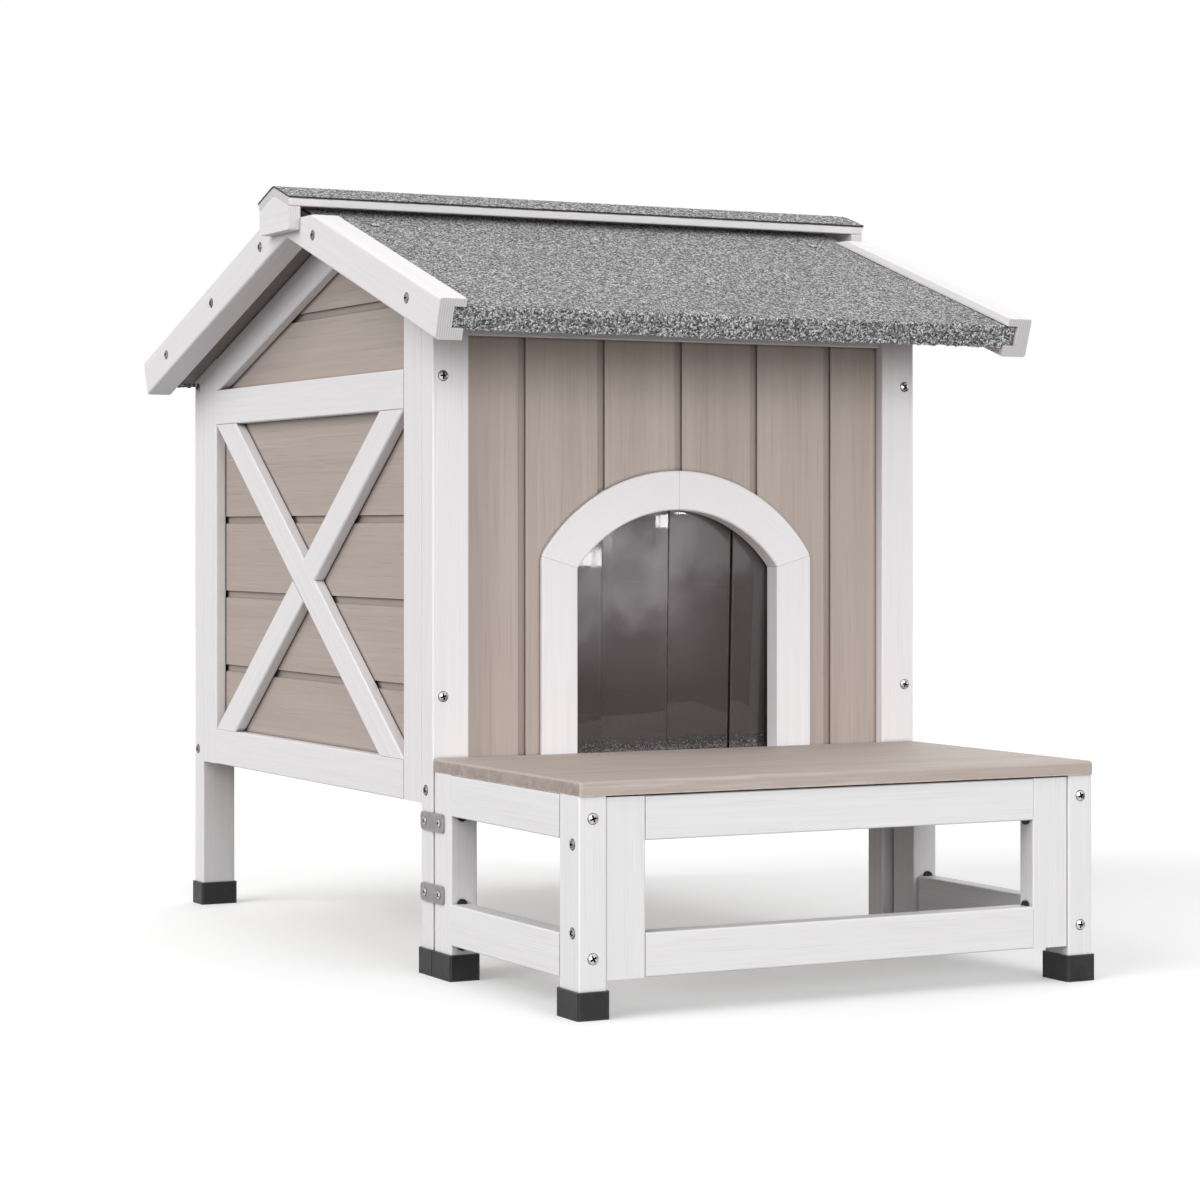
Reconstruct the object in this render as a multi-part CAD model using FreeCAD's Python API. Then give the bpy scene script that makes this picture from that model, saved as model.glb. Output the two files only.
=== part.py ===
import FreeCAD, Part
import math
import os
from FreeCAD import Vector

# Outdoor cat house: a raised timber cabin under a felted gable roof, with an arched doorway closed by
# a clear strip curtain, and a low timber deck plated to the cabin's front legs.
# Millimetres. X runs left to right, Y from the deck towards the back wall, Z up from the ground.

# Cabin
house_width = 500.0         # over the outer faces of the side panels
house_depth = 610.0         # over the posts, front to back
front_height = 599.5        # ground to the underside of the roof, at the front face
ground_gap = 150.0          # ground to the underside of the walls

# Timber stock
leg_wide = 35.0
leg_thick = 25.0
rail_wide = 36.0
stile_wide = 39.0
slat_wide = 33.0            # rafters and crossed braces
slat_thick = 11.0
board_thick = 14.0
edge_round = 1.5            # rounded long edges of posts, legs, rails and stiles
edge_bevel = 1.2            # bevelled edges of slats, doorway trim and ridge cap

# Side panels
top_rail_drop = 47.1        # roof at the back face down to the top rail's lower edge
side_seam_rise = 102.5      # wall bottom up to the lowest joint between side boards
side_board_pitch = 76.3
side_seam_count = 3
gable_seam_drop = 73.0      # ridge down to the joint between the gable boards

# Shiplap joints, the same on every wall
lap_wide = 6.0              # tongue that reaches behind the next board
lap_fit = 0.3
band_wide = 8.0             # sunk band beside each joint
band_deep = 3.0

# Front and back walls
wall_recess = 11.0          # board faces behind the post faces
front_board_pitch = 79.7
front_seam_shift = 5.5      # middle joint, right of the centre line
front_board_count = 6
wall_rail_thick = 7.0
wall_rail_high = 36.0
sill_high = 38.0

# Doorway
door_wide = 208.0
door_upright = 169.0        # sill to the foot of the inner arch
door_rise = 52.5            # from there to the crown
trim_face = 36.0
trim_proud = 5.0
trim_fit = 0.3
trim_shoulder = 20.0        # rounding where the outer arch meets the jamb

# Strip curtain
flap_count = 4
flap_wide = 66.0
flap_gap = 2.0
flap_thick = 2.0
flap_lift = 8.0             # above the cabin floor
hinge_above_door = 18.0     # crown of the doorway to the line where the strips bend
hinge_fit = 0.3
heading_high = 30.0
heading_thick = 3.0
batten_thick = 12.0

# Floor
floor_thick = 12.0
floor_fit = 0.5
bearer_wide = 20.0
bearer_high = 12.0

# Roof
roof_pitch = 18.5           # degrees, the same on both slopes
ridge_from_front = 226.0
front_eave = 116.4          # roof past the front face, measured level along its underside
rear_eave = 12.4
side_overhang = 49.0        # bargeboard face outside the side panel
roof_board_thick = 16.0
felt_thick = 2.5
eave_set = 6.0              # roof board stops short of the bargeboard's end
hem_drop = 2.0              # felt hem hanging below the roof board
hem_fit = 0.5
barge_wide = 25.0
barge_web = 14.0
barge_foot = 10.0           # below the groove
barge_lip = 7.0             # above the groove
groove_fit = 0.5
barge_round = 2.5
peak_level = 5.0            # bargeboard peaks cut level this far above the roof boards' peak

# Ridge cap
wing_wide = 30.0
wing_thick = 8.0
cap_felt_thick = 2.0
cap_felt_edge = 0.5
end_block_thick = 12.0
end_block_high = 34.0       # from the wings' underside at the ridge

# Deck
deck_reach = 284.0          # leg fronts ahead of the cabin's front face
deck_step = 3.0             # deck board above the door sill
deck_board_thick = 12.0
deck_board_round = 3.0
deck_board_gap = 0.5        # between the deck board and the cabin
deck_lip = 2.0              # board past the front legs
deck_rail_thick = 20.0
deck_rail_low = 31.0        # ground to the lower rails
frame_set = 1.5             # front frame behind the leg faces
frame_drop = 1.5            # front frame below the deck board

# Foot caps
cap_wall = 2.0
cap_base = 3.0
cap_high = 23.0
cap_round = 1.5

# Mending plates
plate_long = 48.0
plate_high = 16.0
plate_thick = 2.0
plate_round = 4.0
plate_screw_span = 30.0
plate_rise = 42.0           # lower plate's centre above the lower deck rails' underside
plate_drop = 43.5           # upper plate's centre below the deck legs' top

# Screws
screw_head = 8.0
screw_crown = 5.6           # across the top of a head
screw_high = 1.6
plate_screw_head = 6.5
head_sides = 12
toe_head = 9.0
toe_high = 2.5
panel_screw_inset = 10.0    # from the panel's outer face
panel_screw_rise = 95.0     # above the wall bottom
panel_screw_drop = 72.5     # below the roof at the same face
post_screw_rise = 12.0      # above the wall bottom
post_screw_drop = 6.6       # below the roof at the back face
sill_screw_inset = 15.0     # from the front face
barge_screw_inset = 68.0    # from each end of a bargeboard
frame_screw_rise = 38.0     # above the lower deck rails' underside
frame_screw_drop = 39.0     # below the deck legs' top
roof_screw_slope = 62.0     # down the slope from the ridge
roof_screw_inset = 14.0     # from the side panel's outer face

# Worked-out places
half = house_width / 2
slope = math.radians(roof_pitch)
rise = math.tan(slope)
barge_groove = roof_board_thick + felt_thick + groove_fit
barge_top = barge_groove + barge_lip
front_slope = (ridge_from_front + front_eave) / math.cos(slope)
rear_slope = (house_depth - ridge_from_front + rear_eave) / math.cos(slope)
reach_front = deck_reach + max(cap_wall, deck_lip)
reach_rear = house_depth + rear_eave + barge_top * math.sin(slope)
front = (reach_front - reach_rear) / 2
back = front + house_depth
ridge_y = front + ridge_from_front
ridge_z = front_height + ridge_from_front * rise
rear_height = ridge_z - (house_depth - ridge_from_front) * rise
top_rail_low = rear_height - top_rail_drop
inner_front = front + leg_thick
inner_back = back - leg_thick
wall_span = half - leg_wide
sill_top = ground_gap + sill_high
wall_back = front + wall_recess + board_thick
floor_top = ground_gap + bearer_high + floor_thick
door_half = door_wide / 2
door_spring = sill_top + door_upright
door_crown = door_spring + door_rise
arch_radius = (door_half ** 2 + door_rise ** 2) / (2 * door_rise)
arch_centre = door_crown - arch_radius
deck_front = front - deck_reach
deck_back = front - 2 * cap_wall
deck_top = sill_top + deck_step
leg_top = deck_top - deck_board_thick
plate_rows = (deck_rail_low + plate_rise, leg_top - plate_drop)
SIDES = {"left": -1, "right": 1}
SLOPES = {"front": -1, "rear": 1}
PARALLEL = 0.999            # cosine above which two directions count as one
TOUCH = 0.1                 # distance under which an edge counts as lying on a face


def block(x0, x1, y0, y1, z0, z1):
    """A box between two corners."""
    return Part.makeBox(x1 - x0, y1 - y0, z1 - z0, Vector(x0, y0, z0))


def edges_along(shape, along):
    """The edges that run in the given direction."""
    return [e for e in shape.Edges if abs(e.tangentAt(e.FirstParameter).dot(along)) > PARALLEL]


def bevelled(shape, along):
    """Bevel every edge that runs in the given direction."""
    return shape.makeChamfer(edge_bevel, edges_along(shape, along))


def timber(x0, x1, y0, y1, z0, z1):
    """A planed length of timber, its four long edges rounded."""
    stick = block(x0, x1, y0, y1, z0, z1)
    sizes = (x1 - x0, y1 - y0, z1 - z0)
    along = (Vector(1, 0, 0), Vector(0, 1, 0), Vector(0, 0, 1))[sizes.index(max(sizes))]
    return stick.makeFillet(edge_round, edges_along(stick, along))


def prism(points, sweep):
    """A closed outline carried along a straight sweep."""
    return Part.Face(Part.makePolygon(points + points[:1])).extrude(sweep)


def prism_x(points, x0, x1):
    """An outline of (y, z) points carried from x0 to x1."""
    return prism([Vector(x0, y, z) for y, z in points], Vector(x1 - x0, 0, 0))


def from_side(side, outer, inner):
    """The X range between two depths measured in from a side panel's outer face."""
    return sorted((side * (half - outer), side * (half - inner)))


def roof_point(way, down, out):
    """The (y, z) point a distance down a slope from the ridge and out from its underside."""
    y = ridge_y + way * (down * math.cos(slope) + out * math.sin(slope))
    return y, ridge_z - down * math.sin(slope) + out * math.cos(slope)


def slope_strip(way, length, low, high, x0, x1):
    """A board on one slope, cut plumb at the ridge and square at its lower end."""
    outline = [roof_point(way, -low * rise, low), roof_point(way, length, low),
               roof_point(way, length, high), roof_point(way, -high * rise, high)]
    return prism_x(outline, x0, x1)


def save(name, solids):
    """Write one node, a single solid or a group of like solids."""
    shape = solids[0] if len(solids) == 1 else Part.makeCompound(solids)
    shape.exportStep("parts/" + name + ".step")


def under_roof(shape):
    """Cut a wall piece to the underside of both roof slopes."""
    eaves = [roof_point(way, length, 0) for way, length in ((-1, front_slope), (1, rear_slope))]
    (front_y, front_z), (rear_y, rear_z) = eaves
    outline = [(front_y, 0), (front_y, front_z), (ridge_y, ridge_z), (rear_y, rear_z), (rear_y, 0)]
    return shape.common(prism_x(outline, -half, half)).Solids[0]


def posts():
    """Four corner posts that stand in their foot caps and end under the roof."""
    for end, y0 in (("front", front), ("rear", inner_back)):
        for name, side in SIDES.items():
            x0, x1 = from_side(side, 0, leg_wide)
            post = timber(x0, x1, y0, y0 + leg_thick, cap_base, ridge_z)
            save("post_" + end + "_" + name, [under_roof(post)])


def brace_arms(x0, x1, y0, y1, z0, z1):
    """Two crossed slats from corner to corner of the panel, half lapped where they meet."""
    wide, high = y1 - y0, z1 - z0
    diagonal = math.sqrt(wide ** 2 + high ** 2 - slat_wide ** 2)
    foot = slat_wide * (high * diagonal - slat_wide * wide) / (high ** 2 - slat_wide ** 2)
    falling = prism_x([(y0, z1), (y0 + foot, z1), (y1, z0), (y1 - foot, z0)], x0, x1)
    rising = prism_x([(y1, z1), (y1 - foot, z1), (y0, z0), (y0 + foot, z0)], x0, x1)
    crossing = falling.common(rising)
    middle = (x0 + x1) / 2
    lower_half = crossing.common(block(x0, middle, y0, y1, z0, z1))
    upper_half = crossing.common(block(middle, x1, y0, y1, z0, z1))
    falling = bevelled(falling, Vector(0, wide - foot, -high).normalize())
    rising = bevelled(rising, Vector(0, wide - foot, high).normalize())
    return [falling.cut(lower_half).Solids[0], rising.cut(upper_half).Solids[0]]


def shiplap(start, seams, end):
    """Sections of a run of shiplap boards, as (place along the run, depth behind the face) points.

    Each board has a sunk band on its far edge and a tongue that lies behind the next board's lip.
    """
    lip = board_thick / 2
    sections = []
    for low, high in zip([start] + seams, seams + [end]):
        near_edge = [(low, board_thick), (low, 0)]
        if low > start:
            near_edge = [(low + lap_wide, board_thick), (low + lap_wide, lip), (low, lip), (low, 0)]
        far_edge = [(high, 0), (high, board_thick)]
        if high < end:
            band = high - band_wide
            tip = high + lap_wide - lap_fit
            far_edge = [(band, 0), (band + band_deep / 2, band_deep), (high, band_deep),
                        (high, lip + lap_fit), (tip, lip + lap_fit), (tip, board_thick)]
        sections.append(near_edge + far_edge)
    return sections


def side_boards(side):
    """Horizontal shiplap boards behind the slat frame, cut to the gable."""
    seams = [ground_gap + side_seam_rise + k * side_board_pitch for k in range(side_seam_count)]
    seams += [top_rail_low + rail_wide / 2, ridge_z - gable_seam_drop]
    face = half - slat_thick
    run = Vector(0, inner_back - inner_front, 0)
    boards = []
    for section in shiplap(ground_gap, seams, ridge_z):
        points = [Vector(side * (face - depth), inner_front, z) for z, depth in section]
        boards.append(under_roof(prism(points, run)))
    return boards


def side_panel(name, side):
    """One gable wall: a slat frame and crossed braces in front of shiplap boards."""
    x0, x1 = from_side(side, 0, slat_thick)
    stile_front = inner_front + stile_wide
    stile_back = inner_back - stile_wide
    stiles = [timber(x0, x1, inner_front, stile_front, ground_gap, ridge_z),
              timber(x0, x1, stile_back, inner_back, ground_gap, ridge_z)]
    save("side_stiles_" + name, [under_roof(stile) for stile in stiles])
    save("side_rails_" + name, [timber(x0, x1, stile_front, stile_back, low, low + rail_wide)
                                for low in (ground_gap, top_rail_low)])
    between = block(x0, x1, stile_front, stile_back, top_rail_low + rail_wide, ridge_z)
    rafters = []
    for way in SLOPES.values():
        rafter = slope_strip(way, max(front_slope, rear_slope), -slat_wide, 0, x0, x1)
        rafter = bevelled(rafter, Vector(0, way * math.cos(slope), -math.sin(slope)))
        rafters.append(rafter.common(between).Solids[0])
    save("side_rafters_" + name, rafters)
    save("side_brace_" + name, brace_arms(x0, x1, stile_front, stile_back,
                                          ground_gap + rail_wide, top_rail_low))
    save("side_boards_" + name, side_boards(side))


def wall_boards(face, inward):
    """Vertical shiplap boards between two posts, from the sill to the roof."""
    first = front_seam_shift - (front_board_count / 2 - 1) * front_board_pitch
    seams = [first + k * front_board_pitch for k in range(front_board_count - 1)]
    run = Vector(0, 0, ridge_z - sill_top)
    boards = []
    for section in shiplap(-wall_span, seams, wall_span):
        points = [Vector(x, face + inward * depth, sill_top) for x, depth in section]
        boards.append(under_roof(prism(points, run)))
    return boards


def arch_prism(grow, low, y0, y1):
    """The doorway's outline grown by a margin: upright sides under an arc from the same centre."""
    side = door_half + grow
    radius = arch_radius + grow
    spring = arch_centre + math.sqrt(radius ** 2 - side ** 2)
    corners = [Vector(-side, y0, spring), Vector(-side, y0, low), Vector(side, y0, low),
               Vector(side, y0, spring)]
    lines = [Part.LineSegment(a, b).toShape() for a, b in zip(corners, corners[1:])]
    crown = Vector(0, y0, arch_centre + radius)
    arc = Part.Arc(corners[3], crown, corners[0]).toShape()
    solid = Part.Face(Part.Wire(lines + [arc])).extrude(Vector(0, y1 - y0, 0))
    if grow > 0:
        shoulders = [e for e in edges_along(solid, Vector(0, 1, 0)) if e.CenterOfMass.z > low + grow]
        solid = solid.makeFillet(trim_shoulder + grow - trim_face, shoulders)
    return solid


def front_wall():
    """Board wall scribed round the doorway trim, between the posts and over the sill."""
    doorway = arch_prism(trim_face + trim_fit, sill_top - trim_face, front, wall_back + trim_face)
    for number, board in enumerate(wall_boards(front + wall_recess, 1), 1):
        save("front_board_" + str(number), [board.cut(doorway).Solids[0]])
    rail_face = front + wall_recess - wall_rail_thick
    rail_low = front_height - wall_rail_high
    rail = timber(-wall_span, wall_span, rail_face, front + wall_recess, rail_low, ridge_z)
    save("front_top_rail", [under_roof(rail)])
    save("door_sill", [timber(-wall_span, wall_span, front, inner_front, ground_gap, sill_top)])


def doorway_trim():
    """Two jambs and two arch quarters, butted at the crown and on a slanting joint at the springing."""
    face = front + wall_recess - trim_proud
    ring = arch_prism(trim_face, sill_top, face, wall_back)
    ring = ring.cut(arch_prism(0, sill_top - trim_face, face - trim_face, wall_back + trim_face))
    outer_spring = arch_centre + math.sqrt((arch_radius + trim_face) ** 2 - (door_half + trim_face) ** 2)
    fall = (outer_spring - door_spring) / trim_face
    for name, side in SIDES.items():
        near, far = door_half - trim_face, door_half + 2 * trim_face
        outline = [(near, ground_gap), (far, ground_gap), (far, outer_spring + fall * trim_face),
                   (near, door_spring - fall * trim_face)]
        below = prism([Vector(side * x, face - trim_face, z) for x, z in outline],
                      Vector(0, wall_back - face + 2 * trim_face, 0))
        x0, x1 = sorted((0, side * (door_half + 2 * trim_face)))
        quarter = ring.common(block(x0, x1, face, wall_back, sill_top, door_crown + 2 * trim_face))
        jamb = quarter.common(below).Solids[0]
        rim = [e for e in edges_along(jamb, Vector(0, 0, 1)) if e.BoundBox.YMax < face + TOUCH]
        save("door_jamb_" + name, [jamb.makeChamfer(edge_bevel, rim)])
        arch = quarter.cut(below).Solids[0]
        arcs = [e for e in arch.Edges if e.Curve.TypeId == "Part::GeomCircle"]
        rim = [e for e in arcs if e.BoundBox.YMax < face + TOUCH]
        save("door_arch_" + name, [arch.makeChamfer(edge_bevel, rim)])


def strip_curtain():
    """A clear sheet clamped behind the wall and slit into hanging flaps that bend along one line."""
    reach = (flap_count * (flap_wide + flap_gap) - flap_gap) / 2
    bend_z = door_crown + hinge_above_door
    bend_y = wall_back + heading_thick / 2
    edge = flap_thick / 2
    low = bend_z + edge + hinge_fit
    clamp = wall_back + heading_thick
    save("curtain_heading", [block(-reach, reach, wall_back, clamp, low, low + heading_high)])
    save("curtain_batten", [block(-reach, reach, clamp, clamp + batten_thick, low, low + heading_high)])
    for number in range(flap_count):
        x0 = number * (flap_wide + flap_gap) - reach
        flap = block(x0, x0 + flap_wide, bend_y - edge, bend_y + edge, floor_top + flap_lift, bend_z)
        roll = Part.makeCylinder(edge, flap_wide, Vector(x0, bend_y, bend_z), Vector(1, 0, 0))
        save("curtain_flap_" + str(number + 1), [flap.fuse(roll).removeSplitter().Solids[0]])


def back_wall():
    """Plain board wall between the rear posts, with a bottom rail under it and a top rail outside."""
    save("rear_boards", wall_boards(back - wall_recess, -1))
    bottom = timber(-wall_span, wall_span, inner_back, back, ground_gap, sill_top)
    rail_low = rear_height - wall_rail_high
    top = timber(-wall_span, wall_span, back - wall_recess, back - wall_recess + wall_rail_thick,
                 rail_low, ridge_z)
    save("rear_rails", [bottom, under_roof(top)])


def cabin_floor():
    """A floor panel on two bearers along the side walls and one across the middle."""
    reach = half - slat_thick - board_thick
    bearer_top = ground_gap + bearer_high
    panel = block(-reach + floor_fit, reach - floor_fit, inner_front + floor_fit, inner_back - floor_fit,
                  bearer_top, floor_top)
    save("floor_panel", [panel])
    bearers = [block(*sorted((side * reach, side * (reach - bearer_wide))), inner_front, inner_back,
                     ground_gap, bearer_top) for side in SIDES.values()]
    middle = (inner_front + inner_back - bearer_wide) / 2
    bearers.append(block(bearer_wide - reach, reach - bearer_wide, middle, middle + bearer_wide,
                         ground_gap, bearer_top))
    save("floor_bearers", bearers)


def roof_slope(name, way, length):
    """One roof board with its felt, which turns down over the eave as a hem."""
    reach = half + side_overhang - barge_web - hem_fit
    hem_reach = half + side_overhang - barge_wide - hem_fit
    board_length = length - eave_set
    felt_top = roof_board_thick + felt_thick
    save("roof_board_" + name, [slope_strip(way, board_length, 0, roof_board_thick, -reach, reach)])
    sheet = slope_strip(way, board_length + felt_thick, roof_board_thick, felt_top, -reach, reach)
    for low, high, span in ((0, roof_board_thick, reach), (-hem_drop, 0, hem_reach)):
        corners = [(board_length, low), (board_length + felt_thick, low),
                   (board_length + felt_thick, high), (board_length, high)]
        sheet = sheet.fuse(prism_x([roof_point(way, *corner) for corner in corners], -span, span))
    sheet = sheet.removeSplitter().Solids[0]
    fold_y, fold_z = roof_point(way, board_length + felt_thick, felt_top)
    fold = [e for e in sheet.Edges if e.distToShape(Part.Vertex(0, fold_y, fold_z))[0] < TOUCH]
    save("roof_felt_" + name, [sheet.makeFillet(felt_thick - TOUCH, fold)])
    for side_name, side in SIDES.items():
        outer, inner = side * (half + side_overhang), side * (half + side_overhang - barge_wide)
        groove = side * (half + side_overhang - barge_web)
        barge = slope_strip(way, length, -barge_foot, barge_top, *sorted((outer, inner)))
        barge = barge.cut(slope_strip(way, 2 * length, 0, barge_groove, *sorted((groove, inner))))
        barge = barge.common(block(-half - side_overhang, half + side_overhang, front - front_eave - length,
                                   back + length, ground_gap, ridge_z + peak_level))
        long_edges = edges_along(barge, Vector(0, way * math.cos(slope), -math.sin(slope)))
        rim = [e for e in long_edges if abs(e.CenterOfMass.x - outer) < TOUCH]
        save("bargeboard_" + name + "_" + side_name, [barge.makeFillet(barge_round, rim).Solids[0]])


def ridge_cap():
    """Two wings over the ridge, carried on end blocks outside the bargeboards, with felt over all."""
    reach = half + side_overhang
    outer = reach + end_block_thick
    wing_top = barge_top + wing_thick
    for name, way in SLOPES.items():
        wing = slope_strip(way, wing_wide, barge_top, wing_top, -outer, outer)
        save("ridge_wing_" + name, [bevelled(wing, Vector(1, 0, 0))])
    peak = ridge_z + barge_top / math.cos(slope)
    block_half = wing_wide * math.cos(slope) + barge_top * math.sin(slope)
    shoulder = peak - block_half * rise
    outline = [(ridge_y - block_half, peak - end_block_high), (ridge_y - block_half, shoulder),
               (ridge_y, peak), (ridge_y + block_half, shoulder),
               (ridge_y + block_half, peak - end_block_high)]
    blocks = [prism_x(outline, *sorted((side * reach, side * outer))) for side in SIDES.values()]
    save("ridge_end_blocks", [bevelled(shape, Vector(1, 0, 0)) for shape in blocks])
    sheets = [slope_strip(way, wing_wide + cap_felt_edge, wing_top, wing_top + cap_felt_thick,
                          -outer - cap_felt_edge, outer + cap_felt_edge) for way in SLOPES.values()]
    save("ridge_felt", [sheets[0].fuse(sheets[1]).removeSplitter().Solids[0]])


def deck():
    """A low platform: four legs, side rails, a front frame of stiles and rails, and one board on top."""
    rail_rows = (deck_rail_low, leg_top - rail_wide)
    for name, y0 in (("front", deck_front), ("rear", deck_back - leg_wide)):
        save("deck_legs_" + name, [timber(*from_side(side, 0, leg_thick), y0, y0 + leg_wide,
                                          cap_base, leg_top) for side in SIDES.values()])
    for name, side in SIDES.items():
        x0, x1 = from_side(side, 0, deck_rail_thick)
        save("deck_side_rails_" + name,
             [timber(x0, x1, deck_front + leg_wide, deck_back - leg_wide, low, low + rail_wide)
              for low in rail_rows])
    frame_y = deck_front + frame_set
    frame_top = leg_top - frame_drop
    span = half - leg_thick
    frame = [timber(*sorted((side * span, side * (span - rail_wide))), frame_y, frame_y + deck_rail_thick,
                    deck_rail_low, frame_top) for side in SIDES.values()]
    frame += [timber(rail_wide - span, span - rail_wide, frame_y, frame_y + deck_rail_thick,
                     low, low + rail_wide) for low in (deck_rail_low, frame_top - rail_wide)]
    save("deck_front_frame", frame)
    save("deck_rear_rail", [timber(-span, span, deck_back - deck_rail_thick, deck_back,
                                   leg_top - rail_wide, leg_top)])
    board = block(-half, half, deck_front - deck_lip, front - deck_board_gap, leg_top, deck_top)
    rim = edges_along(board, Vector(0, 0, 1))
    rim += [e for e in board.Edges if e.CenterOfMass.z > deck_top - TOUCH]
    save("deck_board", [board.makeFillet(deck_board_round, rim)])


def foot_caps():
    """Moulded plastic cups pushed over the ends of all eight legs."""
    feet = [from_side(side, 0, leg_wide) + [y, y + leg_thick]
            for side in SIDES.values() for y in (front, inner_back)]
    feet += [from_side(side, 0, leg_thick) + [y, y + leg_wide]
             for side in SIDES.values() for y in (deck_front, deck_back - leg_wide)]
    caps = []
    for x0, x1, y0, y1 in feet:
        cup = block(x0 - cap_wall, x1 + cap_wall, y0 - cap_wall, y1 + cap_wall, 0, cap_high)
        cup = cup.makeChamfer(cap_round, edges_along(cup, Vector(0, 0, 1)))
        caps.append(cup.cut(block(x0, x1, y0, y1, cap_base, cap_high)).Solids[0])
    save("foot_caps", caps)


def mending_plates():
    """Galvanised plates across the joint between each front post and the deck leg beside it."""
    seam = front - cap_wall
    plates = []
    for side in SIDES.values():
        x0, x1 = from_side(side, -plate_thick, 0)
        for centre in plate_rows:
            plate = block(x0, x1, seam - plate_long / 2, seam + plate_long / 2,
                          centre - plate_high / 2, centre + plate_high / 2)
            plates.append(plate.makeFillet(plate_round, edges_along(plate, Vector(1, 0, 0))))
    save("mending_plates", plates)


def ring_of(place, out, wide):
    """A many-sided ring round a point, square to a direction."""
    across = out.cross(Vector(0, 0, 1) if abs(out.z) < PARALLEL / 2 else Vector(1, 0, 0)).normalize()
    turn = 360.0 / head_sides
    spin = [FreeCAD.Rotation(out, (k + 0.5) * turn).multVec(across) for k in range(head_sides)]
    points = [place + arm * (wide / 2) for arm in spin]
    return Part.makePolygon(points + points[:1])


def screw(place, out, wide):
    """A low, tapered screw head standing on a surface."""
    crown = wide * screw_crown / screw_head
    rings = [ring_of(place, out, wide), ring_of(place + out * screw_high, out, crown)]
    return Part.makeLoft(rings, True, True)


def screws():
    """Cross-head screws in the posts, plates, deck legs, bargeboards and roof."""
    heads = []
    frame_mid = deck_front + frame_set + deck_rail_thick / 2
    rail_mids = (deck_rail_low + rail_wide / 2, leg_top - rail_wide / 2)
    for side in SIDES.values():
        out = Vector(side, 0, 0)
        face = side * half
        for y, way, wall_top in ((front, -1, front_height), (back, 1, rear_height)):
            for z in (ground_gap + panel_screw_rise, wall_top - panel_screw_drop):
                place = Vector(side * (half - panel_screw_inset), y, z)
                heads.append(screw(place, Vector(0, way, 0), screw_head))
        low = ground_gap + post_screw_rise
        heads.append(screw(Vector(face, front + sill_screw_inset, low), out, screw_head))
        for z in (low, rear_height - post_screw_drop):
            heads.append(screw(Vector(face, back - panel_screw_inset, z), out, screw_head))
        for z in rail_mids:
            leg_mid = side * (half - leg_thick / 2)
            heads.append(screw(Vector(leg_mid, deck_front, z), Vector(0, -1, 0), screw_head))
        for z in (deck_rail_low + frame_screw_rise, leg_top - frame_screw_drop):
            heads.append(screw(Vector(face, frame_mid, z), out, screw_head))
        for z in plate_rows:
            for way in (-1, 1):
                y = front - cap_wall + way * plate_screw_span / 2
                heads.append(screw(Vector(face + side * plate_thick, y, z), out, plate_screw_head))
        barge_mid = (barge_top - barge_foot) / 2
        for way, length in ((-1, front_slope), (1, rear_slope)):
            downs = [barge_screw_inset, length - barge_screw_inset]
            downs += [length / 2] if way > 0 else []
            for down in downs:
                place = Vector(face + side * side_overhang, *roof_point(way, down, barge_mid))
                heads.append(screw(place, out, screw_head))
            place = Vector(side * (half - roof_screw_inset),
                           *roof_point(way, roof_screw_slope, roof_board_thick + felt_thick))
            normal = Vector(0, way * math.sin(slope), math.cos(slope))
            heads.append(screw(place, normal, screw_head))
    save("screws", heads)


def half_head(place, out, up):
    """Half of a dark screw head driven at a slant, lying in the corner between two members."""
    across = out.cross(up)
    turns = [math.pi * k / (head_sides / 2) for k in range(head_sides // 2 + 1)]
    arms = [across * math.cos(turn) + up * math.sin(turn) for turn in turns]
    return prism([place + arm * (toe_head / 2) for arm in arms], out * toe_high)


def toe_screws():
    """Slanted screws in the inner corners of the deck's side rails and front frame."""
    up, down = Vector(0, 0, 1), Vector(0, 0, -1)
    upper_low = leg_top - rail_wide
    lower_high = deck_rail_low + rail_wide
    frame_mid = deck_front + frame_set + deck_rail_thick / 2
    heads = []
    for side in SIDES.values():
        rail_mid = side * (half - deck_rail_thick / 2)
        for y, way in ((deck_back - leg_wide, -1), (deck_front + leg_wide, 1)):
            out = Vector(0, way, 0)
            heads.append(half_head(Vector(rail_mid, y, upper_low), out, down))
            heads.append(half_head(Vector(rail_mid, y, lower_high), out, up))
            heads.append(half_head(Vector(rail_mid, y, deck_rail_low), out, down))
        stile = side * (half - leg_thick - rail_wide)
        out = Vector(-side, 0, 0)
        heads.append(half_head(Vector(stile, frame_mid, upper_low - frame_drop), out, down))
        heads.append(half_head(Vector(stile, frame_mid, lower_high), out, up))
    save("toe_screws", heads)


os.makedirs("parts", exist_ok=True)
posts()
for side_name, side_sign in SIDES.items():
    side_panel(side_name, side_sign)
front_wall()
doorway_trim()
strip_curtain()
back_wall()
cabin_floor()
roof_slope("front", SLOPES["front"], front_slope)
roof_slope("rear", SLOPES["rear"], rear_slope)
ridge_cap()
deck()
foot_caps()
mending_plates()
screws()
toe_screws()
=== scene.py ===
import math

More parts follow.
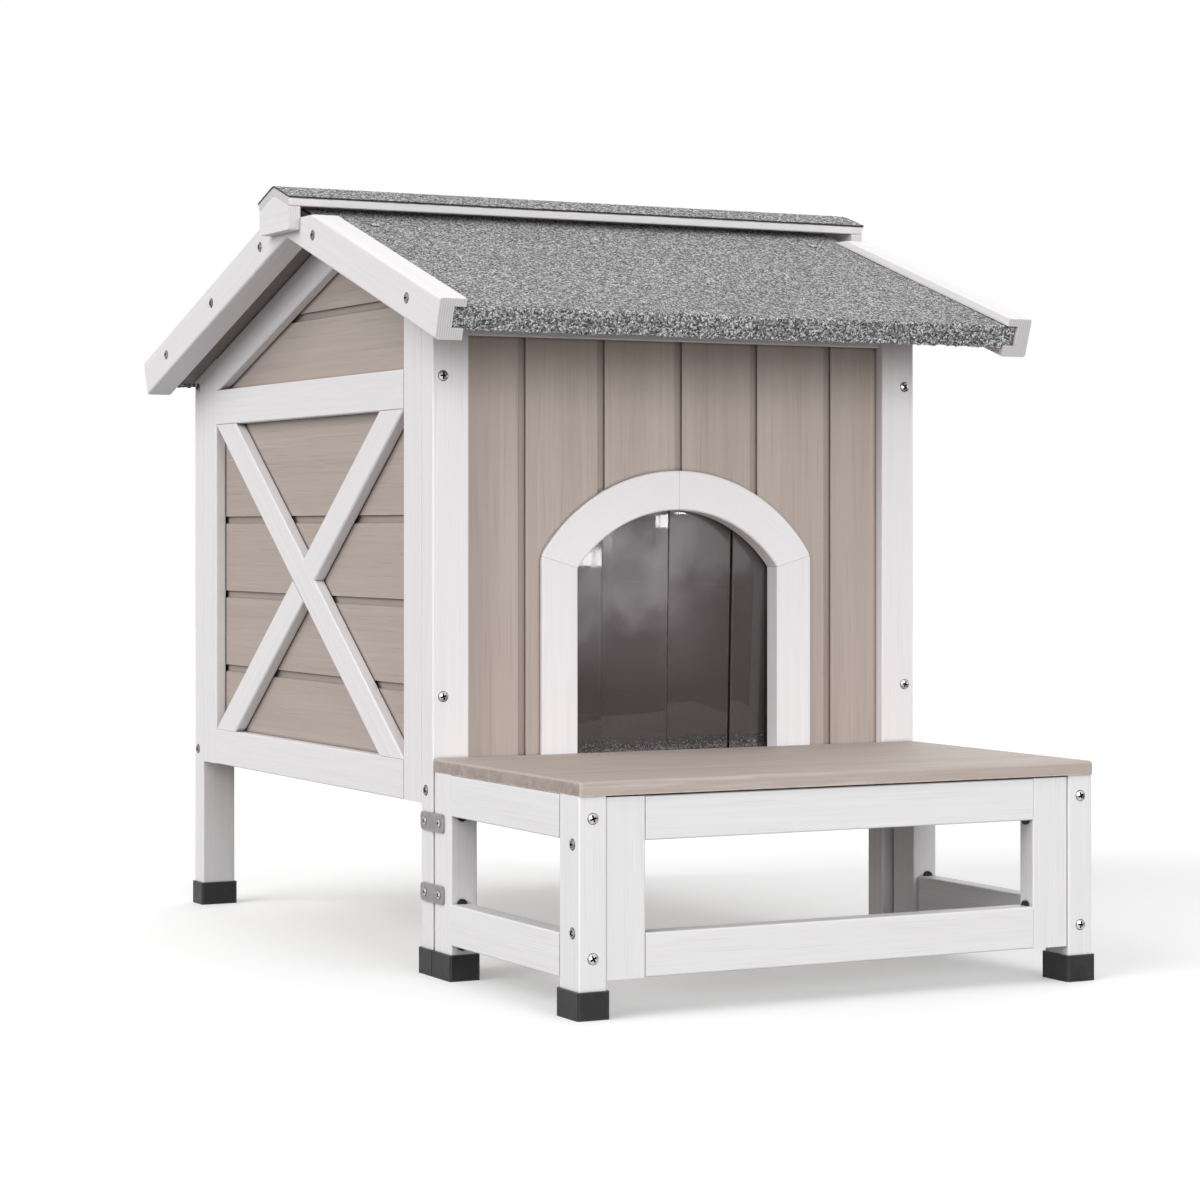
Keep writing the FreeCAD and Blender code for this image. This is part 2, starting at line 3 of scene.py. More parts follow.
import bpy
import numpy as np
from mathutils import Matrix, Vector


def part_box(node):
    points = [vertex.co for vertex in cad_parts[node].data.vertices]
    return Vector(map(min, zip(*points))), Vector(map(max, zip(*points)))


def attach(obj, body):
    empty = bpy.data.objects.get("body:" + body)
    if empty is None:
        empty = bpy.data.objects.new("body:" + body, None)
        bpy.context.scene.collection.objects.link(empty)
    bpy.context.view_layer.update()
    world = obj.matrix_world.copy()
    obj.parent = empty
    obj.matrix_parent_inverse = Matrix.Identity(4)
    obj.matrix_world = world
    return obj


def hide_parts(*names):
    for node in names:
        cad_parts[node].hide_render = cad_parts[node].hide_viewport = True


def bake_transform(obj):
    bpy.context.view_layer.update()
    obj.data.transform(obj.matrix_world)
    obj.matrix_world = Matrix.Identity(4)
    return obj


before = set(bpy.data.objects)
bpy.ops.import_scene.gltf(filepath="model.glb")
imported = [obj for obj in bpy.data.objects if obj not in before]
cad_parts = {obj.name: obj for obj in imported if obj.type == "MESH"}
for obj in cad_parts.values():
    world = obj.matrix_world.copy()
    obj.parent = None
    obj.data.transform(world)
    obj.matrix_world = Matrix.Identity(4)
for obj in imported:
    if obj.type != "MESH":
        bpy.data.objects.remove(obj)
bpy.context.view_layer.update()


# Corner posts
# Four fir posts that run down as legs. Planed square, eased along the edges and brushed with a thin
# whitewash, so the fibres and growth rings just show. Screwed to the wall panels from outside.

def paint(red, green, blue, lightness=1.0):
    """A colour in 8-bit screen values, times a lightness, as the linear colour with alpha of a socket."""
    screen = np.array([red, green, blue]) * lightness / 255
    linear = np.where(screen <= 0.04045, screen / 12.92, ((screen + 0.055) / 1.055) ** 2.4)
    return (*linear.tolist(), 1.0)


def connect(tree, node, inputs):
    """Gives each socket that is named a constant, or links another node's output to it."""
    for socket, value in inputs.items():
        if isinstance(value, bpy.types.NodeSocket):
            tree.links.new(value, node.inputs[socket])
        else:
            node.inputs[socket].default_value = value


def shader_node(tree, kind, inputs=None, **settings):
    """Adds a node of a kind. Settings are its own properties, and inputs are what its sockets take."""
    node = tree.nodes.new("ShaderNode" + kind)
    for name, value in settings.items():
        setattr(node, name, value)
    connect(tree, node, inputs or {})
    return node


def calculate(tree, operation, *values):
    """The output of a Math node that works on the given constants or outputs."""
    return shader_node(tree, "Math", dict(enumerate(values)), operation=operation).outputs[0]


def remap(tree, value, low, high, to_low=0.0, to_high=1.0):
    """The value with the range low to high stretched over to_low to to_high, and held at its ends."""
    inputs = {"Value": value, "From Min": low, "From Max": high, "To Min": to_low, "To Max": to_high}
    return shader_node(tree, "MapRange", inputs).outputs["Result"]


def mixed(tree, share, first, second):
    """Two colours mixed by a share that goes from the first at 0 to the second at 1. A Mix node has its
    colours on sockets 6 and 7, and the result on 2."""
    return shader_node(tree, "Mix", {0: share, 6: first, 7: second}, data_type="RGBA").outputs[2]


def coated(tree, colour, coats):
    """A colour under coats, in their order. Each coat is a mask, how much of it shows where the mask is 1,
    and a tint."""
    for mask, shown, tint in coats.values():
        colour = mixed(tree, calculate(tree, "MULTIPLY", mask, shown), colour, tint)
    return colour


def drawn_out(tree, point, stretch):
    """Coordinates times a factor along each axis, so that a pattern is long where the factor is small."""
    return shader_node(tree, "VectorMath", {0: point, 1: stretch}, operation="MULTIPLY").outputs[0]


def noise(tree, point, scale, detail, roughness=0.5):
    """Cloudy noise about 0.5: so many lumps to a unit of the coordinates, with so many finer layers."""
    inputs = {"Vector": point, "Scale": scale, "Detail": detail, "Roughness": roughness}
    return shader_node(tree, "TexNoise", inputs).outputs["Fac"]


def effect_group(name, inputs):
    """An empty node group with named inputs. Returns its tree and the node that the inputs come from."""
    tree = bpy.data.node_groups.new(name, "ShaderNodeTree")
    for socket, kind in inputs.items():
        tree.interface.new_socket(name=socket, in_out="INPUT", socket_type="NodeSocket" + kind)
    return tree, tree.nodes.new("NodeGroupInput")


def close_group(tree, outputs):
    """Gives the group an output for each named result, and links the result to it."""
    for socket in outputs:
        tree.interface.new_socket(name=socket, in_out="OUTPUT", socket_type="NodeSocketFloat")
    connect(tree, tree.nodes.new("NodeGroupOutput"), outputs)
    return tree


def timber_grain():
    """Sawn softwood with its grain along X: rings are waves of the distance from a pith line that wanders,
    fibres are noise drawn out along the grain, flecks its darkest threads. End grain is where faces look
    along X, and end lines are the thin late wood of its rings, as waves across the board."""
    tree, start = effect_group("timber_grain", {"Vector": "Vector", "Normal": "Vector"})
    point = start.outputs["Vector"]
    wander = {"Vector": point, "Scale": 42.0, "Distortion": 7.0, "Detail": 2.0, "Detail Scale": 0.16,
              "Detail Roughness": 0.45}
    rings = shader_node(tree, "TexWave", wander, wave_type="RINGS", rings_direction="X", wave_profile="SAW")
    fibres = noise(tree, drawn_out(tree, point, (3.0, 260.0, 260.0)), 1.0, 4.0, 0.62)
    threads = noise(tree, drawn_out(tree, point, (11.0, 760.0, 760.0)), 1.0, 1.0)
    ripple = {"Vector": point, "Scale": 150.0, "Distortion": 2.5, "Detail": 2.0, "Detail Scale": 0.3}
    late_wood = shader_node(tree, "TexWave", ripple, bands_direction="Y")
    facing = shader_node(tree, "SeparateXYZ", {0: start.outputs["Normal"]})
    return close_group(tree, {
        "Rings": calculate(tree, "POWER", rings.outputs["Fac"], 1.8),
        "Fibres": remap(tree, fibres, 0.28, 0.72),
        "Flecks": remap(tree, threads, 0.60, 0.74),
        "End Grain": remap(tree, calculate(tree, "ABSOLUTE", facing.outputs["X"]), 0.85, 0.95),
        "End Lines": remap(tree, late_wood.outputs["Fac"], 0.55, 0.95),
    })


def eased_edges():
    """How near a point is to an edge: one less the cosine between the face and the same face rounded over.
    """
    tree, start = effect_group("eased_edges", {"Gain": "Float"})
    rounding = 0.0022
    rounded = shader_node(tree, "Bevel", {"Radius": rounding}, samples=6)
    face = shader_node(tree, "NewGeometry")
    both = {0: rounded.outputs[0], 1: face.outputs["Normal"]}
    cosine = shader_node(tree, "VectorMath", both, operation="DOT_PRODUCT").outputs["Value"]
    bend = calculate(tree, "MULTIPLY", calculate(tree, "SUBTRACT", 1.0, cosine), start.outputs["Gain"])
    return close_group(tree, {"Edge": remap(tree, bend, 0.0, 1.0)})


def painted_joint_shade():
    """Painted shade where pieces meet and in corners: how little of the air within a few millimetres of the
    surface is open.
    """
    tree, start = effect_group("painted_joint_shade", {"Reach": "Float"})
    near = shader_node(tree, "AmbientOcclusion", {"Distance": start.outputs["Reach"]}, samples=8)
    return close_group(tree, {"Shade": remap(tree, near.outputs["AO"], 0.85, 0.25)})


GRAIN = timber_grain()
EDGES = eased_edges()
JOINT_SHADE = painted_joint_shade()


def effect(tree, group, **inputs):
    """Places an effect group in a material and returns its outputs."""
    return shader_node(tree, "Group", inputs, node_tree=group).outputs


def new_material(name):
    """An empty material. Returns it with its tree and its Principled shader."""
    material = bpy.data.materials.new(name)
    material.use_nodes = True
    tree = material.node_tree
    return material, tree, tree.nodes["Principled BSDF"]


def bumped(tree, height, distance, strength):
    """A normal that is raised by a height from 0 to 1 times a distance in metres."""
    inputs = {"Height": height, "Distance": distance, "Strength": strength}
    return shader_node(tree, "Bump", inputs).outputs[0]


def object_point(tree):
    """The place of the shaded point in the shared frame, in metres."""
    return shader_node(tree, "TexCoord").outputs["Object"]


def plane_distance(tree, through, square):
    """How far the shaded point is from the plane through a point that is square to a direction."""
    offset = shader_node(tree, "VectorMath", {0: object_point(tree), 1: through}, operation="SUBTRACT")
    apart = shader_node(tree, "VectorMath", {0: offset.outputs[0], 1: square}, operation="DOT_PRODUCT")
    return calculate(tree, "ABSOLUTE", apart.outputs["Value"])


def along(turn, shift=(0.0, 0.0, 0.0)):
    """Coordinates turned so that the grain runs along X, and shifted to another part of the tree trunk, with
    the direction of the face turned alike."""
    def coordinates(tree):
        place = shader_node(tree, "TexCoord").outputs
        moved = {"Vector": place["Object"], "Rotation": turn, "Location": shift}
        turned = {"Vector": place["Normal"], "Rotation": turn}
        point = shader_node(tree, "Mapping", moved)
        facing = shader_node(tree, "Mapping", turned, vector_type="NORMAL")
        return point.outputs[0], facing.outputs[0]
    return coordinates


GRAIN_X = (0.0, 0.0, 0.0)
GRAIN_Y = (0.0, 0.0, -math.pi / 2)
GRAIN_Z = (0.0, math.pi / 2, 0.0)


def whitewash(name, coordinates, figure=1.0, seams=(), white=(231, 228, 230)):
    """Thin white paint on planed fir: fibres and rings tint it a little, and the edges are painted whitest
    as a highlight. Joints and corners are painted darker as shade. The figure says how strongly the grain
    shows.
    Each seam is a point and a direction across a butt joint, where the paint has cracked in a hair line."""
    material, tree, shader = new_material(name)
    point, facing = coordinates(tree)
    grain = effect(tree, GRAIN, Vector=point, Normal=facing)
    late_wood = {"late wood": (grain["End Lines"], 0.6, paint(164, 160, 158))}
    colour = coated(tree, paint(*white), {
        "fibres": (grain["Fibres"], 0.36 * figure, paint(216, 213, 215)),
        "rings": (grain["Rings"], 0.22 * figure, paint(220, 216, 218)),
        "flecks": (grain["Flecks"], 0.16 * figure, paint(186, 183, 182)),
        "end grain": (grain["End Grain"], 0.85, coated(tree, paint(205, 203, 203), late_wood)),
        # The edges are painted paler as a highlight.
        "edge highlight and wear": (effect(tree, EDGES, Gain=3.0)["Edge"], 0.45, paint(243, 242, 243)),
        # Joints and corners are painted darker as shade.
        "painted joint shade": (effect(tree, JOINT_SHADE, Reach=0.0045)["Shade"], 0.6, paint(112, 107, 105)),
    })
    crack_half = 0.0003
    crack_depth = 0.45
    for through, across in seams:
        distance = plane_distance(tree, through, across)
        crack = remap(tree, distance, 0.5 * crack_half, 1.5 * crack_half, crack_depth, 0.0)
        colour = mixed(tree, crack, colour, paint(126, 121, 120))
    height = calculate(tree, "ADD", calculate(tree, "MULTIPLY", grain["Fibres"], 0.5), grain["Flecks"])
    connect(tree, shader, {
        "Base Color": colour,
        "Roughness": remap(tree, grain["Fibres"], 0.0, 1.0, 0.48, 0.62),
        "Normal": bumped(tree, height, 0.0002, 0.3),
    })
    return material


def wear(material, *names):
    """Gives CAD nodes a finish."""
    for name in names:
        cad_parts[name].material_slots[0].material = material


CORNERS = ("front_left", "front_right", "rear_left", "rear_right")
wear(whitewash("whitewash_posts", along(GRAIN_Z)), *["post_" + corner for corner in CORNERS])


# Side panels
# Gable frames of whitewashed fir: stiles, rails, rafters that follow the roof, and two crossed slats
# let into each other, pinned over the boards.

ROOF_PITCH = math.radians(18.5)


def slope_turn(rise):
    """The turn that lays a grain direction in the YZ plane, rising by an angle towards +Y, along X."""
    return (-rise, 0.0, -math.pi / 2)


def either(test, first, second):
    """Coordinates of two members in one node: the first where the test's output is 1, else the second. A Mix
    node has its vectors on sockets 4 and 5, and the result on 1."""
    def coordinates(tree):
        share = test(tree)
        chosen = []
        for other, one in zip(second(tree), first(tree)):
            node = shader_node(tree, "Mix", {0: share, 4: other, 5: one}, data_type="VECTOR")
            chosen.append(node.outputs[1])
        return tuple(chosen)
    return coordinates


def object_axis(tree, axis):
    """One coordinate of the shaded point."""
    return shader_node(tree, "SeparateXYZ", {0: object_point(tree)}).outputs[axis]


def past(axis, limit):
    """A test for a mask: 1 where an object coordinate is above the limit."""
    return lambda tree: calculate(tree, "GREATER_THAN", object_axis(tree, axis), limit)


def within(axis, limit):
    """A test for a mask: 1 where an object coordinate is nearer than the limit to the middle."""
    def test(tree):
        distance = calculate(tree, "ABSOLUTE", object_axis(tree, axis))
        return calculate(tree, "LESS_THAN", distance, limit)
    return test


def on_line(through, rise, half_width):
    """A test for a mask: 1 within half a width of a line in the YZ plane that rises towards +Y."""
    square = (0.0, -math.sin(rise), math.cos(rise))
    return lambda tree: calculate(tree, "LESS_THAN", plane_distance(tree, through, square), half_width)


ridge_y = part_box("roof_board_front")[1].y
rafter_grain = either(past("Y", ridge_y), along(slope_turn(-ROOF_PITCH), (0.3, 0.02, 0.01)),
                      along(slope_turn(ROOF_PITCH), (0.7, 0.05, 0.03)))
slat_wide = 0.033
brace_low, brace_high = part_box("side_brace_left")
brace_wide = brace_high.y - brace_low.y
brace_tall = brace_high.z - brace_low.z
slat_diagonal = math.sqrt(brace_wide ** 2 + brace_tall ** 2 - slat_wide ** 2)
foot_share = (brace_tall * slat_diagonal - slat_wide * brace_wide) / (brace_tall ** 2 - slat_wide ** 2)
slat_rise = math.atan2(brace_tall, brace_wide - slat_wide * foot_share)
brace_middle = (brace_low + brace_high) / 2
slat_grain = {way: along(slope_turn(way * slat_rise), (0.3 - 0.2 * way, 0.03, 0.02)) for way in (1, -1)}
mask_margin = 0.0005
for side, way in (("left", 1), ("right", -1)):
    on_top = on_line(brace_middle, way * slat_rise, slat_wide / 2 + mask_margin)
    crossed = either(on_top, slat_grain[way], slat_grain[-way])
    wear(whitewash("whitewash_brace_" + side, crossed), "side_brace_" + side)
panel_finishes = {
    "stiles": whitewash("whitewash_stiles", along(GRAIN_Z, (0.4, 0.013, 0.021))),
    "rails": whitewash("whitewash_rails", along(GRAIN_Y, (0.2, 0.008, 0.017))),
    "rafters": whitewash("whitewash_rafters", rafter_grain),
}
for piece, finish in panel_finishes.items():
    wear(finish, f"side_{piece}_left", f"side_{piece}_right")


# Wall boards
# Shiplap fir boards stained taupe: upright on the front and back, level in the gables. Each laps behind
# the next, with a sunk band along the joint. The stain shows streaks, and each board takes it differently.

def by_board(turn, axis, start, pitch):
    """Coordinates along a turn that jump to another part of the trunk from one board to the next."""
    trunk_jump = (3.7, 0.173, 0.119)

    def coordinates(tree):
        point, facing = along(turn)(tree)
        count = calculate(tree, "DIVIDE", calculate(tree, "SUBTRACT", object_axis(tree, axis), start), pitch)
        board = calculate(tree, "FLOOR", count)
        terms = {0: board, 1: trunk_jump, 2: point}
        moved = shader_node(tree, "VectorMath", terms, operation="MULTIPLY_ADD")
        return moved.outputs[0], facing
    return coordinates


def taupe_stain(name, coordinates, lightness=1.0, edge_highlight_and_wear=0.35, scuffed=0.0, sunk=None):
    """Taupe stain on fir: paler and darker streaks along the grain, dark flecks, and edges painted pale in
    chips, partly as rubbing and partly as highlight. Scuffs are pale threads along the grain. The sunk test
    masks the band along a joint, which is painted darker as the shade in it. Joints and corners are painted
    darker as shade."""
    material, tree, shader = new_material(name)
    point, facing = coordinates(tree)
    grain = effect(tree, GRAIN, Vector=point, Normal=facing)
    streak_tint = paint(163, 149, 140, lightness)
    edge_tint = paint(212, 204, 198)
    cloud = noise(tree, drawn_out(tree, point, (1.2, 30.0, 30.0)), 1.0, 3.0)
    torn = remap(tree, noise(tree, point, 90.0, 4.0), 0.35, 0.65)
    end_share = calculate(tree, "MULTIPLY", grain["End Lines"], torn)
    end_colour = mixed(tree, end_share, paint(142, 127, 119), paint(202, 190, 182))
    coats = {
        "rings": (grain["Rings"], 0.4, paint(187, 175, 167, lightness)),
        "fibres": (grain["Fibres"], 0.36, streak_tint),
        "streaks": (remap(tree, cloud, 0.4, 0.68), 0.4, streak_tint),
        "flecks": (grain["Flecks"], 0.18, paint(118, 105, 98)),
        "end grain": (grain["End Grain"], 0.85, end_colour),
    }
    if scuffed:
        threads = noise(tree, drawn_out(tree, point, (14.0, 330.0, 330.0)), 1.0, 3.0)
        on_faces = remap(tree, grain["End Grain"], 0.0, 1.0, 1.0, 0.25)
        scuffs = calculate(tree, "MULTIPLY", remap(tree, threads, 0.52, 0.72), on_faces)
        coats["scuffs"] = (scuffs, scuffed, edge_tint)
    if sunk:
        # The sunk band is painted darker as the shade in it.
        coats["sunk band"] = (sunk(tree), 0.55, paint(150, 136, 127, lightness))
    # The edges are painted pale in chips, partly as wear and partly as highlight.
    edge = effect(tree, EDGES, Gain=2.0 + 4.0 * edge_highlight_and_wear)["Edge"]
    chips = remap(tree, noise(tree, point, 130.0, 3.0), 0.42, 0.58, 0.2, 1.0)
    coats["edge highlight and wear"] = (calculate(tree, "MULTIPLY", edge, chips), edge_highlight_and_wear, edge_tint)
    # Joints and corners are painted darker as shade.
    coats["painted joint shade"] = (effect(tree, JOINT_SHADE, Reach=0.005)["Shade"], 0.85, paint(50, 41, 36))
    height = calculate(tree, "SUBTRACT", calculate(tree, "MULTIPLY", grain["Fibres"], 0.6), grain["Flecks"])
    connect(tree, shader, {
        "Base Color": coated(tree, paint(181, 168, 160, lightness), coats),
        "Roughness": remap(tree, grain["Fibres"], 0.0, 1.0, 0.6, 0.75),
        "Normal": bumped(tree, height, 0.00025, 0.5),
    })
    return material


band_start = 0.0012
side_tone = 0.975
first_course = 0.1025
side_pitch = 0.0763
side_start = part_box("side_boards_left")[0].z + first_course
side_band = within("X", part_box("side_boards_right")[1].x - band_start)
side_grain = by_board(GRAIN_Y, "Z", side_start, side_pitch)
wear(taupe_stain("stain_side_boards", side_grain, side_tone, sunk=side_band),
     "side_boards_left", "side_boards_right")
front_band = within("Y", abs(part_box("front_board_1")[0].y) - band_start)
board_tones = (1.0, 0.985, 1.01, 0.99, 1.005, 0.98)
for number, tone in enumerate(board_tones):
    trunk_place = (1.3 * number, 0.171 * number, 0.113 * number)
    board = f"front_board_{number + 1}"
    wear(taupe_stain("stain_" + board, along(GRAIN_Z, trunk_place), tone, sunk=front_band), board)
rear_pitch = 0.0797
rear_start = 0.0055
rear_band = within("Y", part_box("rear_boards")[1].y - band_start)
wear(taupe_stain("stain_rear_boards", by_board(GRAIN_Z, "X", rear_start, rear_pitch), sunk=rear_band),
     "rear_boards")
cross_finish = whitewash("whitewash_cross_rails", along(GRAIN_X, (0.15, 0.02, 0.05)))
wear(cross_finish, "front_top_rail", "rear_rails", "door_sill")


# Doorway trim
# Two jambs and two arch quarters sawn from boards and butted at the springing and the crown, whitewashed.
# The grain of a quarter runs across its chord.

arch_turn = math.radians(35)
arch_figure = 0.4
jamb_low, jamb_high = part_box("door_jamb_right")
spring_run = jamb_high.x - jamb_low.x
spring_rise = jamb_high.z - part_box("door_arch_right")[0].z
spring_long = math.hypot(spring_run, spring_rise)
crown_seam = ((0.0, 0.0, 0.0), (1.0, 0.0, 0.0))
for side, way in (("left", -1), ("right", 1)):
    springing = (way * jamb_high.x, 0.0, jamb_high.z)
    spring_seam = (springing, (-way * spring_rise / spring_long, 0.0, spring_run / spring_long))
    jamb_grain = along(GRAIN_Z, (0.6, 0.031 * way, 0.008))
    arch_grain = along((0.0, -way * arch_turn, 0.0), (0.55 + 0.35 * way, 0.03, 0.02))
    arch_seams = (spring_seam, crown_seam)
    wear(whitewash("whitewash_jamb_" + side, jamb_grain, seams=(spring_seam,)), "door_jamb_" + side)
    wear(whitewash("whitewash_arch_" + side, arch_grain, arch_figure, arch_seams), "door_arch_" + side)


# Cabin floor
# A loose panel of bare fir laid on bearers that are screwed along the walls. The batten that clamps the
# curtain is of the same bare wood.

def bare_fir(name, coordinates):
    """Unpainted fir: honey brown with darker growth rings and fine fibres, and painted shade in joints and
    corners.
    """
    material, tree, shader = new_material(name)
    point, facing = coordinates(tree)
    grain = effect(tree, GRAIN, Vector=point, Normal=facing)
    fleck_and_shade_tint = paint(60, 48, 38)
    connect(tree, shader, {
        "Base Color": coated(tree, paint(176, 146, 112), {
            "rings": (grain["Rings"], 0.8, paint(146, 113, 80)),
            "fibres": (grain["Fibres"], 0.5, paint(158, 128, 96)),
            "flecks": (grain["Flecks"], 0.5, fleck_and_shade_tint),
            # Joints and corners are painted darker as shade.
            "painted joint shade": (effect(tree, JOINT_SHADE, Reach=0.01)["Shade"], 0.5, fleck_and_shade_tint),
        }),
        "Roughness": remap(tree, grain["Fibres"], 0.0, 1.0, 0.6, 0.75),
        "Normal": bumped(tree, grain["Fibres"], 0.0003, 0.5),
    })
    return material


wear(bare_fir("fir_floor", along(GRAIN_X)), "floor_panel")
wear(bare_fir("fir_bearers", along(GRAIN_Y, (0.3, 0.04, 0.02))), "floor_bearers")
wear(bare_fir("fir_batten", along(GRAIN_X, (0.6, 0.02, 0.05))), "curtain_batten")


# Strip curtain
# A clear soft sheet clamped between the front wall and a batten, slit below it into four strips that
# hang free in the doorway. Each strip keeps a little of the curl of the roll it was cut from.

def grid_quads(grid):
    """The quads between neighbouring rows and columns of a grid of point numbers."""
    corners = [grid[:-1, :-1], grid[:-1, 1:], grid[1:, 1:], grid[1:, :-1]]
    return np.stack(corners, axis=-1).reshape(-1, 4)


def shell_faces(rows, columns):
    """Quads of a closed shell between two grids: the first skin, the second turned round, and the rim."""
    count = rows * columns
    grid = np.arange(count).reshape(rows, columns)
    skin = grid_quads(grid)
    border = np.concatenate([grid[0], grid[1:, -1], grid[-1, -2::-1], grid[-2:0:-1, 0]])
    after = np.roll(border, -1)
    rim = np.stack([border, border + count, after + count, after], axis=-1)
    return np.concatenate([skin, skin[:, ::-1] + count, rim])


def placed(name, data):
    """A mesh, lamp or camera as an object of the scene, at the origin."""
    thing = bpy.data.objects.new(name, data)
    bpy.context.scene.collection.objects.link(thing)
    return thing


def new_piece(name, points, faces, materials, smooth_under=40.0):
    """An object from points and quads. The quads are turned round if the sum of their centres times their
    normals is below 0, so that they face outwards. Edges sharper than an angle in degrees stay sharp."""
    corners = points[faces]
    normals = np.cross(corners[:, 2] - corners[:, 0], corners[:, 3] - corners[:, 1])
    if np.sum(corners.mean(axis=1) * normals) < 0:
        faces = faces[:, ::-1]
    mesh = bpy.data.meshes.new(name)
    mesh.from_pydata(points.tolist(), [], faces.tolist())
    mesh.shade_smooth()
    mesh.set_sharp_from_angle(angle=math.radians(smooth_under))
    for material in materials:
        mesh.materials.append(material)
    return placed(name, mesh)


def shell(name, outer, inner, materials, hem_rows=0):
    """A closed shell between two grids of points with as many rows and columns. The skins take the first
    material, the rim the second, and the skins' last rows, as many as the hem has, the third."""
    rows, columns = outer.shape[:2]
    faces = shell_faces(rows, columns)
    piece = new_piece(name, np.concatenate([outer.reshape(-1, 3), inner.reshape(-1, 3)]), faces, materials)
    skin_rows = np.tile(np.repeat(np.arange(rows - 1), columns - 1), 2)
    finishes = np.ones(len(faces), np.int32)
    finishes[:len(skin_rows)] = np.where(skin_rows < rows - 1 - hem_rows, 0, 2)
    piece.data.polygons.foreach_set("material_index", finishes)
    return piece


def clear_film(name, clearness, roughness, smoke=(137, 129, 130)):
    """Soft clear film: smoky, clouded by a pale haze that thins out downwards and to the right, scuffed in
    long faint streaks and specked near the hem. Lamps shine through it."""
    material, tree, shader = new_material(name)
    place = object_point(tree)
    low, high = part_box("curtain_flap_1")
    drop = high.z - low.z
    hem_reach = 0.018
    height = remap(tree, object_axis(tree, "Z"), low.z + 0.25 * drop, low.z + 0.75 * drop, 0.03, 1.0)
    leftward = remap(tree, object_axis(tree, "X"), -high.x, 0.0, 0.2, 1.0)
    cloud = remap(tree, noise(tree, place, 26.0, 5.0), 0.3, 0.7, 0.5, 1.0)
    pale_haze = calculate(tree, "MULTIPLY", calculate(tree, "MULTIPLY", height, leftward), cloud)
    hem = remap(tree, object_axis(tree, "Z"), low.z + hem_reach, low.z, 0.35, 0.65)
    specks = calculate(tree, "ADD", hem, noise(tree, place, 650.0, 1.0))
    share = calculate(tree, "MAXIMUM", pale_haze, remap(tree, specks, 0.98, 1.12, 0.0, 0.4))
    scuffs = noise(tree, drawn_out(tree, place, (140.0, 140.0, 16.0)), 1.0, 3.0)
    connect(tree, shader, {
        "Base Color": mixed(tree, share, paint(*smoke), paint(227, 221, 225)),
        "Roughness": remap(tree, scuffs, 0.45, 0.75, roughness, roughness + 0.06),
        "Transmission Weight": clearness,
        "IOR": 1.5,
    })
    open_film = shader_node(tree, "BsdfTransparent", {"Color": paint(214, 212, 214)})
    shadow = shader_node(tree, "LightPath").outputs["Is Shadow Ray"]
    through = shader_node(tree, "MixShader", {0: shadow, 1: shader.outputs[0], 2: open_film.outputs[0]})
    connect(tree, tree.nodes["Material Output"], {"Surface": through.outputs[0]})
    return material


film = clear_film("clear_film", 0.82, 0.01)
film_edge = clear_film("clear_film_edge", 0.35, 0.3)
dusty_film = clear_film("clear_film_hem", 0.5, 0.1, (84, 79, 79))
strip_thick = 0.002
strip_rows, strip_columns = 40, 17
hem_rows = 3
held_share = 1 / 12
strip_shapes = ((0.0020, 0.0, 0.0007), (0.0016, -0.0016, 0.0045), (0.0010, 0.0018, 0.0078),
                (0.0012, 0.0014, 0.0084))

# Down a strip goes from 0 to 1, and across it from -1 to 1. It bows by the square of across and leans by
# across, both rising smoothly from nothing along the held share, and swings back evenly with down.
down, across = np.meshgrid(np.linspace(0, 1, strip_rows), np.linspace(-1, 1, strip_columns), indexing="ij")
free = np.clip(down / held_share, 0, 1)
free = free * free * (3 - 2 * free)
for number, (curl, twist, swing) in enumerate(strip_shapes, start=1):
    low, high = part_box(f"curtain_flap_{number}")
    x = (low.x + high.x) / 2 + across * (high.x - low.x) / 2
    z = high.z - down * (high.z - low.z)
    y = (low.y + high.y) / 2 + free * (curl * across ** 2 + twist * across) + swing * down
    middle = np.stack([x, y, z], axis=-1)
    half_wall = np.array([0, strip_thick / 2, 0])
    strip = shell(f"curtain_strip_{number}", middle - half_wall, middle + half_wall,
                  (film, film_edge, dusty_film), hem_rows)
    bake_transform(strip)
    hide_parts(f"curtain_flap_{number}")

# The heading is flat, and puckers towards its lower edge in a sine wave along it.
low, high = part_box("curtain_heading")
heading_rows, heading_columns = 7, 55
heading_inset = 0.0003
pucker_deep = 0.0002
pucker_turns = 40
rise, run = np.meshgrid(np.linspace(0, 1, heading_rows), np.linspace(0, 1, heading_columns), indexing="ij")
x = low.x + run * (high.x - low.x)
z = low.z + rise * (high.z - low.z)
pucker = pucker_deep * np.sin(run * pucker_turns) * (1 - rise)
front_skin = np.stack([x, low.y + heading_inset + pucker, z], axis=-1)
back_skin = np.stack([x, high.y - heading_inset + pucker, z], axis=-1)
heading = shell("curtain_top", front_skin, back_skin, (film, film_edge))
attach(heading, "house")
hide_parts("curtain_heading")


# Roof boards
# Two plain boards that slide into the bargeboards' grooves and meet under the ridge cap. They take the
# walls' taupe stain, painted a third darker as the shade under the eaves, and only the underside shows at
# the eaves.

# The wall stain painted a third darker, as the shade under the eaves.
roof_shade_tone = 0.66
roof_grain = {"front": along(GRAIN_X, (0.2, 0.01, 0.02)), "rear": along(GRAIN_X, (0.8, 0.03, 0.05))}
for slope, coordinates in roof_grain.items():
    wear(taupe_stain("stain_roof_" + slope, coordinates, roof_shade_tone), "roof_board_" + slope)


# Roof felt
# Bitumen felt faced with crushed grey mineral, glued to each roof board and turned down over the eave as
# a ragged hem. The granules are a millimetre or two across, pale, grey and nearly black.

def cell_grey(tree, cells):
    """The random grey of each cell of a Voronoi node."""
    return shader_node(tree, "SeparateColor", {0: cells.outputs["Color"]}).outputs[0]


